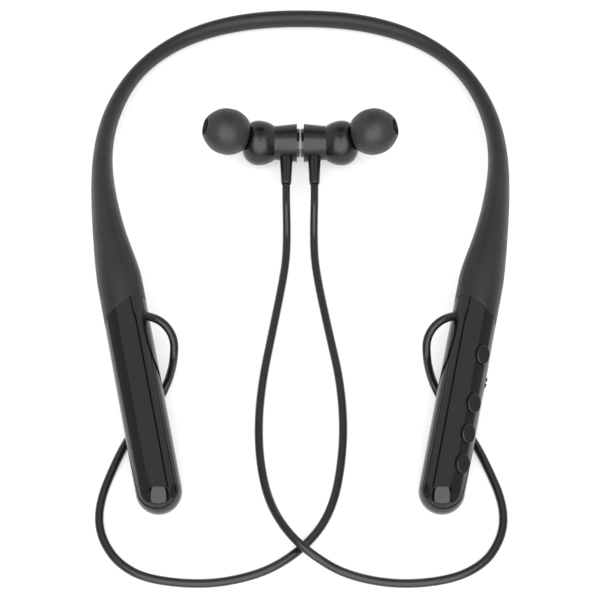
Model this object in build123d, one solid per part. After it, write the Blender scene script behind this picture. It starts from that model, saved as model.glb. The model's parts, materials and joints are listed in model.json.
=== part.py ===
from build123d import *
from math import cos, degrees, radians, sin, sqrt, tan
import os

# Neckband earphones: a silicone neckband that ends in two glossy round pods, and two magnetic
# earbuds that hang from the pods on free cords.
# Frame: millimetres, +X to the wearer's right, +Y to the nape, +Z up. The neckband lies on z = 0
# and the origin is the middle of its footprint. Left pieces are modelled and right ones mirrored.

# ---- pods -------------------------------------------------------------------------------------
POD_RADIUS = 6.5            # round pod section, outside
POD_WALL = 1.3              # pod shell wall
POD_TIP_X = -39.4           # centre of the left pod's round tip, in plan
POD_TIP_Y = -80.5
POD_LEAN = 11.9             # degrees that a pod leans outward towards the nape
POD_SLOPE = 8.1             # degrees that a pod rises towards the nape
SEAM_Y = 52.6               # pod length from tip centre to the silicone seam, on the axis
SEAM_LEAN = 22.0            # degrees the seam is slanted in plan, and
SEAM_RAKE = 24.0            # seen from the side
FIT = 0.05                  # clearance between pieces that are pushed together
RUN = 0.15                  # clearance round a piece that moves
RIB = 0.8                   # thickness of a shell's inner ribs

# ---- neckband sleeve --------------------------------------------------------------------------
# Stations of the left half, from the nape to the pod: x, y, z, section width, section height.
BAND_STATIONS = [
    (0.0, 84.5, 3.0, 5.0, 6.0),
    (-22.0, 82.2, 3.0, 4.85, 6.0),
    (-38.0, 75.7, 3.2, 4.35, 6.0),
    (-50.0, 64.8, 3.9, 4.1, 6.0),
    (-57.5, 48.9, 6.0, 4.9, 6.4),
    (-60.1, 29.3, 9.9, 5.8, 7.4),
    (-58.5, 10.0, 13.6, 7.7, 9.2),
    (-55.2, -7.2, 15.4, 10.7, 11.6),
]
BAND_POD_STATIONS = (63.8, 54.0, 45.0)   # last stations, on the pod's axis, from its tip centre
BAND_WALL = 1.2
MEMORY_WIRE_SIZE = (0.5, 1.2)   # flat spring wire
MEMORY_WIRE_DROP = -0.8     # its place below the sleeve's middle
LINK_WIRE_SIZE = (0.3, 0.5)     # flat flexible conductors
LINK_WIRE_RISE = 0.6
LINK_WIRE_SPREAD = 0.33

# ---- couplers between sleeve and pod ----------------------------------------------------------
COUPLER_START = 51.8        # along the pod from its tip centre
COUPLER_STEP = 55.5
COUPLER_END = 61.5
COUPLER_NARROW = 0.35       # how much thinner the neck end is
COUPLER_BORE = 3.6
COUPLER_WALL = 1.5          # end wall that holds the wires
WIRE_HOLE = 0.35            # clearance of the wires in it

# ---- cords ------------------------------------------------------------------------------------
CORD_RADIUS = 1.2
CORD_REST = CORD_RADIUS     # height of a cord's middle where it lies
CORD_HUMP = 6.3             # height of the right cord's middle over the left one
GROMMET_NECK = 0.3          # rubber round the cord in the pod's wall
GROMMET_FLANGE = 2.4
GROMMET_LENGTH = 2.2
CORD_BORE = 0.03            # clearance of the cord in its grommet
EXIT_REACH = 6.0            # how far the exit's bore is cut, either way

# ---- earbuds (left one, axis along X) ----------------------------------------------------------
BUD_Y = 34.4                # earbud axis
BUD_Z = 6.95
BUD_GAP = 0.04              # from the middle plane to the magnet cap's face
CAP_RADIUS = 4.5
CAP_LENGTH = 1.01
BACK_LENGTH = 6.85          # tapered back shell
BACK_RADIUS = 5.9           # at the cap
NECK_RADIUS = 5.2           # at the ball
BALL_RADIUS = 6.9
BALL_REAR = 4.95            # from the joint to the ball's widest ring
BALL_EDGE = 5.0             # rounding of the ball's ear side
BUD_WALL = 0.9
SPIGOT = 1.4                # back shell's spigot in the front shell
MAGNET_RADIUS = 4.1
MAGNET_LENGTH = 2.2
BULKHEAD = 0.8              # wall behind the magnet
DRIVER_RADIUS = 4.2
DRIVER_LENGTH = 3.0
DRIVER_FRONT = 0.2          # from the ball's widest ring to the driver's front
GASKET_LENGTH = 1.4
GASKET_RADIUS = 5.5
NOZZLE_TILT = 22.5          # degrees above the earbud's axis
NOZZLE_RISE = 2.5           # the nozzle axis passes this far above the ball's middle
NOZZLE_RADIUS = 2.1
NOZZLE_LIP = 2.4
NOZZLE_LIP_LENGTH = 1.0
NOZZLE_BORE = 1.5
NOZZLE_START = 2.5
NOZZLE_END = 11.5           # along the nozzle axis
MESH_THICKNESS = 0.3
MESH_RECESS = 0.4
BOOT_X = 4.3                # from the middle plane to the boot's axis
BOOT_BASE = 1.93            # boot radius at the earbud
BOOT_TIP = 1.6
BOOT_END = 1.25
BOOT_CHAMFER = 1.1
BOOT_REACH = 15.0           # from the earbud's axis to the boot's end
BOOT_SEAT = 4.45            # from the earbud's axis to the boot's inner end

# ---- ear tip (along the nozzle axis) -----------------------------------------------------------
TIP_RIM_START = 4.5
TIP_RIM = 4.95              # outside radius of the skirt's rim
TIP_BELLY = 7.1             # widest radius
TIP_BELLY_AT = 5.0          # from the rim
TIP_FRONT = 2.95
TIP_LENGTH = 12.9
TIP_WALL = 0.65
TIP_CORE_WALL = 0.7
TIP_CORE_BACK = 1.3         # the core starts this far inside the rim
TIP_CLEARANCE = 0.06        # over the nozzle's lip
TIP_CORE_JOIN = 2.6         # from the front to where skirt and core part

# ---- right pod: buttons, board and port ---------------------------------------------------------
BUTTON_ANGLE = 40.0         # from the top of the pod to its outer side
BUTTON_Y = (40.0, 25.4, 16.4, 7.6)      # power, plus, play, minus, from the tip centre
BUTTON_NAMES = ("button_power", "button_plus", "button_play", "button_minus")
BUTTON_SIZE = (4.6, 5.6)    # oval, across and along the pod
BUTTON_TOP = 7.2            # from the pod's axis
BUTTON_BEVEL = 0.15
BUTTON_FOOT = 3.1
BUTTON_EAR = 3.6
BUTTON_EAR_WIDTH = 2.2
BUTTON_EAR_LENGTH = 0.5
BUTTON_TRAVEL = 0.3
NUB_RADIUS = 1.0
MARK_DEPTH = 0.08
MARK_SIZE = 2.2
MARK_LINE = 0.35
BOARD_LIFT = 0.2            # board's underside from the pod's axis
BOARD_THICKNESS = 0.8
BOARD_WIDTH = 8.2
BOARD_START = 2.0
BOARD_END = 46.0
SWITCH_SIZE = 3.0
SWITCH_HEIGHT = 1.0
PLUNGER_RADIUS = 0.8
PLUNGER_HEIGHT = 0.35
RADIO_SIZE = (6.0, 11.0, 1.6)
RADIO_Y = 10.0
MIC_SIZE = (1.9, 3.0, 1.0)
MIC_Y = 21.3
MIC_OFFSET = -3.0
MIC_HOLE = 0.4
MIC_HOLE_LENGTH = 4.0
MIC_SPACE = (3.1, 2.0, 2.0)     # extra room round it in the rib
PORT_ANGLE = 100.0          # from the top of the pod to its outer side
PORT_Y = 34.0
PORT_SIZE = (3.2, 8.9)      # USB-C shell
PORT_WALL = 0.3
PORT_MOUTH = 5.6            # from the pod's axis
PORT_DEPTH = 6.4
PORT_FLOOR = 0.8
TONGUE_SIZE = (0.7, 6.7)
TONGUE_RECESS = 1.3
FLAP_SIZE = (5.2, 10.8)
FLAP_THICKNESS = 0.55
FLAP_PLUG = 0.9
FLAP_PLUG_GAP = 0.3         # clearance of the plug in the socket
FLAP_TAB = 0.4              # height of the pull tabs
FLAP_TAB_SIZE = (2.6, 1.1)
FLAP_TAB_PITCH = 1.7
FLAP_TAB_SHIFT = -0.2
LED_ANGLE = 62.0
LED_Y = 44.3
LED_RADIUS = 0.55
LED_LENGTH = 2.6

# ---- left pod: battery --------------------------------------------------------------------------
CELL_SIZE = (8.2, 34.0, 4.6)
CELL_START = 1.0
CELL_ROUND = 0.8
CELL_RIBS = (7.0, 18.0, 29.0)
PAD_SIZE = (5.0, 9.0, 1.9)
CHARGER_SIZE = (7.4, 7.0, 0.8)
CHARGER_GAP = 0.5
BOARD_RIBS = (12.4, 20.5, 44.2)
SNAP_Y = (3.0, 21.9, 45.6)
SNAP_SIZE = (0.55, 1.5, 1.4)

POD_BORE = POD_RADIUS - POD_WALL
FAR = 80.0                  # size of a cutting block
POD = Pos(POD_TIP_X, POD_TIP_Y, POD_RADIUS) * Rot(0, 0, POD_LEAN) * Rot(POD_SLOPE, 0, 0)
SEAM = Plane(origin=(0, SEAM_Y, 0), z_dir=(-tan(radians(SEAM_LEAN)), 1, -tan(radians(SEAM_RAKE))))
BUD = Pos(0, BUD_Y, BUD_Z)
JOINT_X = -(BUD_GAP + CAP_LENGTH + BACK_LENGTH)     # joint between front and back shells
BALL_X = JOINT_X - BALL_REAR                        # the ball's widest ring
BALL_FRONT = BALL_X - BALL_EDGE
NOZZLE = BUD * Pos(BALL_X, 0, NOZZLE_RISE) * Rot(0, NOZZLE_TILT - 90, 0)

# Routes of the two cords, from the pod to the earbud's boot. The loop beside a pod is shared.
LOOP_FROM_TIP = [           # x and y from the left pod's tip centre
    (-6.21, 50.37, 16.29),
    (-2.99, 48.86, 17.97),
    (0.08, 47.11, 18.04),
    (2.38, 44.75, 17.0),
    (3.5, 42.1, 15.2),
    (3.3, 39.0, 12.5),
    (2.6, 37.3, 8.3),
    (1.0, 34.6, 3.7),
    (-1.5, 29.8, 1.9),
    (-6.6, 23.5, CORD_REST),
    (-10.8, 16.3, CORD_REST),
]
POD_LOOP = [(POD_TIP_X + x, POD_TIP_Y + y, z) for x, y, z in LOOP_FROM_TIP]
LEFT_ROUTE = POD_LOOP + [
    (-53.4, -72.2, CORD_REST),
    (-55.9, -80.0, CORD_REST),
    (-56.5, -87.3, CORD_REST),
    (-54.6, -93.8, CORD_REST),
    (-50.0, -100.0, CORD_REST),
    (-42.0, -104.4, CORD_REST),
    (-26.0, -106.0, CORD_REST),
    (-12.0, -103.2, CORD_REST),
    (-2.5, -98.0, CORD_REST),
    (5.3, -90.3, CORD_REST),
    (9.5, -81.5, CORD_REST),
    (11.6, -70.5, CORD_REST),
    (12.5, -58.0, CORD_REST),
    (11.5, -43.5, CORD_REST),
    (8.6, -29.0, CORD_REST),
    (5.9, -14.8, CORD_REST),
    (4.4, -4.8, CORD_REST),
    (4.1, 2.0, 1.6),
    (4.1, 7.0, 3.3),
    (4.2, 11.2, 5.8),
    (BOOT_X, 15.2, BUD_Z),
    (BOOT_X, BUD_Y - BOOT_REACH, BUD_Z),
]
RIGHT_ROUTE = [(-x, y, z) for x, y, z in POD_LOOP] + [
    (53.6, -72.3, CORD_REST),
    (56.4, -80.3, CORD_REST),
    (57.0, -87.5, CORD_REST),
    (55.1, -93.8, CORD_REST),
    (50.8, -99.8, CORD_REST),
    (42.0, -104.4, CORD_REST),
    (27.0, -106.0, CORD_REST),
    (12.8, -103.2, CORD_REST),
    (3.3, -99.2, CORD_HUMP),
    (-3.9, -92.2, CORD_HUMP),
    (-9.0, -81.2, CORD_REST),
    (-11.5, -69.5, CORD_REST),
    (-12.1, -57.0, CORD_REST),
    (-11.0, -43.5, CORD_REST),
    (-8.4, -28.8, CORD_REST),
    (-5.9, -14.8, CORD_REST),
    (-4.4, -4.8, CORD_REST),
    (-4.1, 2.0, 1.6),
    (-4.1, 7.0, 3.3),
    (-4.2, 11.2, 5.8),
    (-BOOT_X, 15.2, BUD_Z),
    (-BOOT_X, BUD_Y - BOOT_REACH, BUD_Z),
]
CORD_SHARE = 0.45           # share of a run that the arc at its end may take


def right(shape):
    """The mirror image on the right side."""
    return mirror(shape, about=Plane.YZ)


def save(name, shape):
    """Write one node's STEP file."""
    export_step(shape, "parts/" + name + ".step")


def tube(start, end, radius):
    """Straight round rod between two points."""
    start, end = Vector(*start), Vector(*end)
    plane = Plane(origin=start, z_dir=end - start)
    return extrude(plane * Circle(radius), (end - start).length)


# ---- pod pieces ----------------------------------------------------------------------------------
def barrel(radius, length=FAR):
    """Round-ended bar along the pod's axis, from the tip."""
    return Pos(0, length / 2, 0) * Rot(90, 0, 0) * Cylinder(radius, length) + Sphere(radius)


def disc(y, thickness, radius):
    """Flat disc across the pod, centred at y."""
    return Pos(0, y, 0) * Rot(90, 0, 0) * Cylinder(radius, thickness)


def outward(angle):
    """Frame whose +Z points from the pod's axis to its outer side, angle degrees from the top."""
    return Rot(0, -angle, 0)


def block(size, x, y, z):
    """Box with its underside at z."""
    return Pos(x, y, z + size[2] / 2) * Box(*size)


def pod_halves(ribs, cuts):
    """Top and bottom shells of a pod, in the pod's frame, with the ribs and cuts given."""
    shell = split(barrel(POD_RADIUS), bisect_by=SEAM, keep=Keep.BOTTOM)
    shell = shell - barrel(POD_BORE)
    for rib in ribs:
        shell = shell + rib
    for cut in cuts:
        shell = shell - cut
    top = split(shell, bisect_by=Plane.XY, keep=Keep.TOP)
    bottom = split(shell, bisect_by=Plane.XY, keep=Keep.BOTTOM)
    return top + snap_tabs(), bottom


def snap_tabs():
    """Tabs of the top shell that reach down inside the bottom shell."""
    width, length, reach = SNAP_SIZE
    edge = sqrt(POD_BORE**2 - reach**2) - FIT
    foot = 0.8
    tabs = []
    for y in SNAP_Y:
        for side in (-1, 1):
            leg = block((width, length, reach + foot), side * (edge - width / 2), y, -reach)
            root = block((width + 0.5, length, foot), side * (edge - width / 2 + 0.25), y, FIT)
            tabs.append(leg + root)
    return sum_shapes(tabs)


def sum_shapes(shapes):
    """Fuse a list of shapes."""
    total = shapes[0]
    for shape in shapes[1:]:
        total = total + shape
    return total


def cord_exit():
    """Start of the left cord's route and its direction, in the pod's frame."""
    inverse = POD.inverse()
    start = (inverse * Pos(*POD_LOOP[0])).position
    ahead = (inverse * Pos(*POD_LOOP[1])).position
    return start, (ahead - start).normalized()


def exit_bore(radius, back=0.0):
    """Round bore along the cord's exit, in the pod's frame."""
    start, along = cord_exit()
    return tube(start - along * back, start + along * EXIT_REACH, radius)


def grommet_flange(extra):
    """The grommet's flange before it is fitted to the pod's bore, larger all round by extra."""
    start, along = cord_exit()
    back = start - along * (GROMMET_LENGTH + extra)
    return tube(back, start + along * 2, GROMMET_FLANGE + extra)


def cord_grommet():
    """Rubber grommet in the pod's wall; the cord ends in its blind bore."""
    neck = exit_bore(CORD_RADIUS + GROMMET_NECK) & barrel(POD_RADIUS)
    flange = grommet_flange(0) & barrel(POD_BORE - FIT)
    return neck + flange - exit_bore(CORD_RADIUS + CORD_BORE)


def coupler():
    """Hard plastic plug that joins the sleeve to the pod and holds the wires' ends."""
    wide = POD_BORE - FIT
    narrow = POD_BORE - COUPLER_NARROW
    middle = (COUPLER_START + COUPLER_STEP) / 2
    body = disc(middle, COUPLER_STEP - COUPLER_START, wide)
    body = body + disc((COUPLER_STEP + COUPLER_END) / 2, COUPLER_END - COUPLER_STEP, narrow)
    bore_end = COUPLER_END - COUPLER_WALL
    body = body - disc((COUPLER_START + bore_end) / 2, bore_end - COUPLER_START, COUPLER_BORE)
    for x, z, (wide, high) in wire_places():
        hole = Box(wide + 2 * WIRE_HOLE, 4 * COUPLER_WALL, high + 2 * WIRE_HOLE)
        body = body - Pos(x, COUPLER_END, z) * hole
    return body - grommet_flange(FIT)


def wire_places():
    """Place and size of each wire in the sleeve's section."""
    link = [(side * LINK_WIRE_SPREAD, LINK_WIRE_RISE, LINK_WIRE_SIZE) for side in (-1, 1)]
    return [(0, MEMORY_WIRE_DROP, MEMORY_WIRE_SIZE)] + link


# ---- neckband sleeve and wires -------------------------------------------------------------------
def band_frames(reach):
    """Section planes from the left pod to the right one, with each section's width and height.

    A plane's x points sideways and its y up; reach is how many pod stations are used."""
    stations = [(Vector(x, y, z), wide, high) for x, y, z, wide, high in BAND_STATIONS]
    for y in BAND_POD_STATIONS[:reach]:
        stations.append(((POD * Pos(0, y, 0)).position, 2 * POD_RADIUS, 2 * POD_RADIUS))
    frames = []
    for i, (point, wide, high) in enumerate(stations):
        if i == 0:
            along = Vector(1, 0, 0)
        elif i >= len(BAND_STATIONS):
            along = (POD * Pos(0, 1, 0)).position - (POD * Pos(0, 0, 0)).position
        else:
            along = stations[i - 1][0] - stations[i + 1][0]
        frames.append((point, along.normalized(), wide, high))
    left = list(reversed(frames))
    flip = [(Vector(-p.X, p.Y, p.Z), Vector(a.X, -a.Y, -a.Z), w, h) for p, a, w, h in frames[1:]]
    planes = []
    for point, along, wide, high in left + flip:
        sideways = Vector(0, 0, 1).cross(along).normalized()
        planes.append((Plane(origin=point, x_dir=sideways, z_dir=along), wide, high))
    return planes


def band_loft(shrink, reach):
    """Smooth body through the sleeve's sections, made thinner all round by shrink."""
    sections = []
    for plane, wide, high in band_frames(reach):
        sections.append(plane * Ellipse(wide / 2 - shrink, high / 2 - shrink))
    return loft(sections)


def band_wire(x, z, size):
    """Thin flat wire that follows the sleeve at a place in its section."""
    sections = []
    for plane, wide, high in band_frames(2):
        place = plane.origin + plane.x_dir * x + plane.y_dir * z
        section = Plane(origin=place, x_dir=plane.x_dir, z_dir=plane.z_dir)
        sections.append(section * Rectangle(*size))
    return loft(sections)


def sleeve():
    """Silicone sleeve: a hollow band whose ends meet the pods on the slanted seams."""
    beyond = POD * SEAM.location * Pos(0, 0, -FAR / 4) * Box(FAR / 2, FAR / 2, FAR / 2)
    return band_loft(0, 3) - band_loft(BAND_WALL, 3) - beyond - right(beyond)


# ---- cords ---------------------------------------------------------------------------------------
def cord(name, route):
    """Round cord along a route of straight runs joined by arcs."""
    points = [Vector(*point) for point in route]
    radii = []
    for before, here, after in zip(points, points[1:], points[2:]):
        turn = (here - before).get_angle(after - here)
        run = min((here - before).length, (after - here).length)
        radii.append(CORD_SHARE * run / tan(radians(turn) / 2))
    path = FilletPolyline(*points, radius=radii)
    start = Plane(origin=points[0], z_dir=points[1] - points[0])
    body = sweep(start * Circle(CORD_RADIUS), path=path)
    expected = 3.141593 * CORD_RADIUS**2 * path.length
    print(name, "length %.1f" % path.length, "volume ratio %.4f" % (body.volume / expected))
    print("  radii", " ".join("%.1f" % radius for radius in radii))
    return body


# ---- earbud pieces (left) ------------------------------------------------------------------------
def turned(outline):
    """Turn a closed outline in the XY plane about the earbud's axis."""
    return revolve(make_face(outline), axis=Axis.X)


def front_outline(inset):
    """Half section of the front shell's outside, or of its hollow when inset is the wall."""
    joint = (JOINT_X, NECK_RADIUS - inset)
    widest = (BALL_X, BALL_RADIUS - inset)
    front = (BALL_FRONT + inset, BALL_RADIUS - BALL_EDGE)
    drop = BALL_RADIUS - NECK_RADIUS
    rear_radius = (BALL_REAR**2 + drop**2) / (2 * drop) - inset
    edge = BALL_EDGE - inset
    half = radians(45)
    mid_edge = (BALL_X - edge * sin(half), BALL_RADIUS - BALL_EDGE + edge * cos(half))
    rear_centre = BALL_RADIUS - inset - rear_radius
    swing = radians(16)
    mid_rear = (BALL_X + rear_radius * sin(swing), rear_centre + rear_radius * cos(swing))
    end_x = BALL_X + sqrt(rear_radius**2 - (joint[1] - rear_centre) ** 2)
    outline = [
        Line((JOINT_X, 0), (BALL_FRONT + inset, 0)),
        Line((BALL_FRONT + inset, 0), front),
        ThreePointArc(front, mid_edge, widest),
        ThreePointArc(widest, mid_rear, (end_x, joint[1])),
        Line(joint, (JOINT_X, 0)),
    ]
    if inset:
        outline.append(Line((end_x, joint[1]), joint))
    return outline


def front_shell():
    """Ball-shaped front shell with the nozzle."""
    solid = BUD * turned(front_outline(0))
    hollow = BUD * turned(front_outline(BUD_WALL))
    reach = NOZZLE_END - NOZZLE_START
    tube_body = NOZZLE * Pos(0, 0, NOZZLE_START + reach / 2) * Cylinder(NOZZLE_RADIUS, reach)
    lip_at = NOZZLE_END - NOZZLE_LIP_LENGTH / 2
    lip = Pos(0, 0, lip_at) * Cylinder(NOZZLE_LIP, NOZZLE_LIP_LENGTH)
    lip = chamfer(lip.edges().group_by(Axis.Z)[-1], 0.25)
    bore = NOZZLE * Pos(0, 0, NOZZLE_END / 2 + 1) * Cylinder(NOZZLE_BORE, NOZZLE_END)
    return (solid - hollow) + (tube_body - hollow) + NOZZLE * lip - bore


def back_shell():
    """Tapered back shell with the magnet's pocket and the boot's hole."""
    end = JOINT_X + BACK_LENGTH
    pocket_end = end - MAGNET_LENGTH - FIT
    bulkhead_end = pocket_end - BULKHEAD
    spigot = NECK_RADIUS - BUD_WALL - FIT
    inner = spigot - BUD_WALL
    outline = Polyline(
        (end, MAGNET_RADIUS + FIT),
        (end, BACK_RADIUS),
        (JOINT_X, NECK_RADIUS),
        (JOINT_X, spigot),
        (JOINT_X - SPIGOT, spigot),
        (JOINT_X - SPIGOT, inner),
        (bulkhead_end, inner),
        (bulkhead_end, 0),
        (pocket_end, 0),
        (pocket_end, MAGNET_RADIUS + FIT),
        close=True,
    )
    return BUD * turned(outline) - boot_hole()


def boot_hole():
    """Hole of the strain relief in the back shell."""
    top = BUD_Y - BOOT_SEAT + FIT
    return tube((-BOOT_X, top, BUD_Z), (-BOOT_X, top - BALL_RADIUS, BUD_Z), BOOT_BASE + FIT)


def strain_relief():
    """Tapered rubber boot on the cord's end."""
    inner = -BOOT_SEAT
    shoulder = -(BACK_RADIUS + 0.2)
    outline = Polyline(
        (0, inner),
        (BOOT_BASE, inner),
        (BOOT_BASE, shoulder),
        (BOOT_TIP, BOOT_CHAMFER - BOOT_REACH),
        (BOOT_END, -BOOT_REACH),
        (0, -BOOT_REACH),
        close=True,
    )
    return Pos(-BOOT_X, BUD_Y, BUD_Z) * revolve(make_face(outline), axis=Axis.Y)


def bud_disc(x, length, radius):
    """Disc on the earbud's axis, from x towards the middle plane."""
    return BUD * Pos(x + length / 2, 0, 0) * Rot(0, 90, 0) * Cylinder(radius, length)


def magnet_cap():
    """Metal cap with a bright bevelled edge."""
    cap = Pos(0, 0, 0) * Cylinder(CAP_RADIUS, CAP_LENGTH)
    cap = chamfer(cap.edges().group_by(Axis.Z)[-1], 0.2)
    return BUD * Pos(-BUD_GAP - CAP_LENGTH / 2, 0, 0) * Rot(0, 90, 0) * cap


def driver_gasket(start):
    """Ring that seats the driver in the front shell."""
    ring = bud_disc(start, GASKET_LENGTH, GASKET_RADIUS)
    return ring - bud_disc(start - 1, GASKET_LENGTH + 2, DRIVER_RADIUS + FIT)


def ear_tip():
    """Hollow silicone dome with the core tube that grips the nozzle."""
    bore = NOZZLE_LIP + TIP_CLEARANCE
    core = bore + TIP_CORE_WALL
    rim, front = TIP_RIM_START, TIP_RIM_START + TIP_LENGTH
    belly = rim + TIP_BELLY_AT
    shoulder_r, shoulder_z = TIP_FRONT, front - 0.35
    outer = Spline(
        (TIP_RIM, rim),
        (TIP_BELLY, belly),
        (TIP_BELLY * 0.79, belly + 0.62 * (shoulder_z - belly)),
        (shoulder_r, shoulder_z),
        tangents=[(1, 0.75), (-1, 0.45)],
    )
    inner_belly = TIP_BELLY - TIP_WALL
    inner = Spline(
        (core, front - TIP_CORE_JOIN),
        (TIP_BELLY * 0.79 - TIP_WALL, belly + 0.62 * (shoulder_z - belly) - 0.4 * TIP_WALL),
        (inner_belly, belly),
        (TIP_RIM - TIP_WALL * 0.8, rim + 0.25),
        tangents=[(1, -0.8), (-1, -0.75)],
    )
    edges = [
        outer,
        RadiusArc(outer @ 1, (bore, front - 0.25), -0.35),
        Line((bore, front - 0.25), (bore, rim + TIP_CORE_BACK)),
        Line((bore, rim + TIP_CORE_BACK), (core, rim + TIP_CORE_BACK)),
        Line((core, rim + TIP_CORE_BACK), inner @ 0),
        inner,
        Line(inner @ 1, outer @ 0),
    ]
    face = make_face([Plane.XZ * edge for edge in edges])
    return NOZZLE * revolve(face, axis=Axis.Z)


def earbud_pieces():
    """All pieces of the left earbud, by name."""
    driver_x = BALL_X + DRIVER_FRONT
    gasket_x = driver_x + 0.8
    mesh_z = NOZZLE_END - MESH_RECESS - MESH_THICKNESS / 2
    mesh = Pos(0, 0, mesh_z) * Cylinder(NOZZLE_BORE - 0.02, MESH_THICKNESS)
    magnet_x = JOINT_X + BACK_LENGTH - MAGNET_LENGTH
    return {
        "earbud_front_shell": front_shell(),
        "earbud_back_shell": back_shell(),
        "magnet_cap": magnet_cap(),
        "magnet": bud_disc(magnet_x, MAGNET_LENGTH, MAGNET_RADIUS),
        "driver": bud_disc(driver_x, DRIVER_LENGTH, DRIVER_RADIUS),
        "driver_gasket": driver_gasket(gasket_x),
        "nozzle_mesh": NOZZLE * mesh,
        "strain_relief": strain_relief(),
        "ear_tip": ear_tip(),
    }


# ---- right pod's pieces, in the pod's frame before mirroring --------------------------------------
def slot(size, start, length):
    """Racetrack prism along +Z: size is across and along the pod."""
    face = Rot(0, 0, 90) * SlotOverall(size[1], size[0])
    return Pos(0, 0, start) * extrude(face, length)


def mark(name):
    """Generic sign cut in a button: bar, cross, triangle or ring, on the XY plane."""
    bar = Rectangle(MARK_LINE, MARK_SIZE)
    if name == "button_minus":
        return bar
    if name == "button_plus":
        return bar + Rectangle(MARK_SIZE, MARK_LINE)
    if name == "button_play":
        return Triangle(a=MARK_SIZE, b=MARK_SIZE, c=MARK_SIZE)
    ring = Circle(MARK_SIZE / 2) - Circle(MARK_SIZE / 2 - MARK_LINE)
    return ring


def oval(extra):
    """A button's outline, made larger all round by extra."""
    return Ellipse(BUTTON_SIZE[0] / 2 + extra, BUTTON_SIZE[1] / 2 + extra)


def button(name, y):
    """Oval push button with retaining ears, along its own axis."""
    cap = Pos(0, 0, BUTTON_FOOT) * extrude(oval(0), BUTTON_TOP - BUTTON_FOOT)
    cap = chamfer(cap.edges().group_by(Axis.Z)[-1], BUTTON_BEVEL)
    ear_size = (2 * BUTTON_EAR, BUTTON_EAR_WIDTH, BUTTON_EAR_LENGTH)
    cap = cap + block(ear_size, 0, 0, BUTTON_FOOT)
    nub_foot = switch_top() + BUTTON_TRAVEL + FIT
    nub_height = BUTTON_FOOT - nub_foot
    cap = cap + Pos(0, 0, nub_foot + nub_height / 2) * Cylinder(NUB_RADIUS, nub_height)
    cap = cap - Pos(0, 0, BUTTON_TOP - MARK_DEPTH) * extrude(mark(name), 1)
    return outward(BUTTON_ANGLE) * Pos(0, y, 0) * cap


def switch_top():
    """Height of a tact switch's plunger in the button's frame."""
    return BOARD_LIFT + BOARD_THICKNESS + SWITCH_HEIGHT + PLUNGER_HEIGHT


def button_holes():
    """Holes of the buttons in the pod's wall."""
    holes = []
    for y in BUTTON_Y:
        hole = Pos(0, y, BUTTON_FOOT) * extrude(oval(RUN), POD_RADIUS)
        holes.append(outward(BUTTON_ANGLE) * hole)
    return holes


def board_block(extra):
    """The main board's bar, made larger all round by extra."""
    size = (BOARD_WIDTH + 2 * extra, BOARD_END - BOARD_START, BOARD_THICKNESS + 2 * extra)
    middle = (BOARD_START + BOARD_END) / 2
    return outward(BUTTON_ANGLE) * block(size, 0, middle, BOARD_LIFT - extra)


def main_board():
    """Circuit board, tilted to face the buttons, with a notch for the USB-C socket."""
    notch = outward(PORT_ANGLE) * Pos(0, PORT_Y, 0) * block(
        (PORT_SIZE[0] + 2 * FIT, PORT_SIZE[1] + 2 * FIT, PORT_DEPTH + 2), 0, 0,
        PORT_MOUTH - PORT_DEPTH - FIT)
    return board_block(0) - notch


def tact_switches():
    """Four tact switches under the buttons."""
    top = BOARD_LIFT + BOARD_THICKNESS
    switches = []
    for y in BUTTON_Y:
        base = block((SWITCH_SIZE, SWITCH_SIZE, SWITCH_HEIGHT), 0, y, top)
        stem = Pos(0, y, top + SWITCH_HEIGHT + PLUNGER_HEIGHT / 2)
        stem = stem * Cylinder(PLUNGER_RADIUS, PLUNGER_HEIGHT)
        switches.append(outward(BUTTON_ANGLE) * (base + stem))
    return switches


def usb_socket():
    """USB-C receptacle with its tongue."""
    shell = slot(PORT_SIZE, PORT_MOUTH - PORT_DEPTH, PORT_DEPTH)
    cavity = slot([side - 2 * PORT_WALL for side in PORT_SIZE],
                  PORT_MOUTH - PORT_DEPTH + PORT_FLOOR, PORT_DEPTH)
    reach = PORT_DEPTH - PORT_FLOOR - TONGUE_RECESS
    tongue = block((*TONGUE_SIZE, reach), 0, 0, PORT_MOUTH - PORT_DEPTH + PORT_FLOOR)
    return outward(PORT_ANGLE) * Pos(0, PORT_Y, 0) * (shell - cavity + tongue)


def flap_pocket():
    """Pocket of the flap in the pod's wall, and the socket's hole below it."""
    grown = [side + 2 * RUN for side in FLAP_SIZE]
    pocket = slot(grown, 0, 2 * POD_RADIUS) - disc(0, FAR, POD_RADIUS - FLAP_THICKNESS - FIT)
    hole = slot([side + 2 * FIT for side in PORT_SIZE], 0, 2 * POD_RADIUS)
    return outward(PORT_ANGLE) * Pos(0, PORT_Y, 0) * (pocket + hole)


def port_flap():
    """Soft flap that closes the socket, with a plug and two small pull tabs."""
    plate = slot(FLAP_SIZE, 0, 2 * POD_RADIUS) & disc(0, FAR, POD_RADIUS)
    plate = plate - disc(0, FAR, POD_RADIUS - FLAP_THICKNESS)
    plug_size = [side - 2 * PORT_WALL - 2 * FLAP_PLUG_GAP for side in PORT_SIZE]
    top = POD_RADIUS - FLAP_THICKNESS / 2
    plug = slot(plug_size, PORT_MOUTH - FLAP_PLUG, top - PORT_MOUTH + FLAP_PLUG)
    flap = plate + plug
    for side in (-1, 1):
        y = FLAP_TAB_SHIFT + side * FLAP_TAB_PITCH / 2
        tab = block((*FLAP_TAB_SIZE, FLAP_TAB + FLAP_THICKNESS), 0, y, top)
        tab = fillet(tab.edges().group_by(Axis.Z)[-1], 0.3)
        flap = flap + (tab & disc(0, FAR, POD_RADIUS + FLAP_TAB))
    return outward(PORT_ANGLE) * Pos(0, PORT_Y, 0) * flap


def led_pipe(extra=0.0):
    """Clear light pipe in the pod's wall, above its lamp."""
    start = POD_RADIUS - LED_LENGTH
    pipe = Pos(0, LED_Y, start + LED_LENGTH / 2) * Cylinder(LED_RADIUS + extra, LED_LENGTH + extra)
    return outward(LED_ANGLE) * pipe & barrel(POD_RADIUS + extra)


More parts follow.
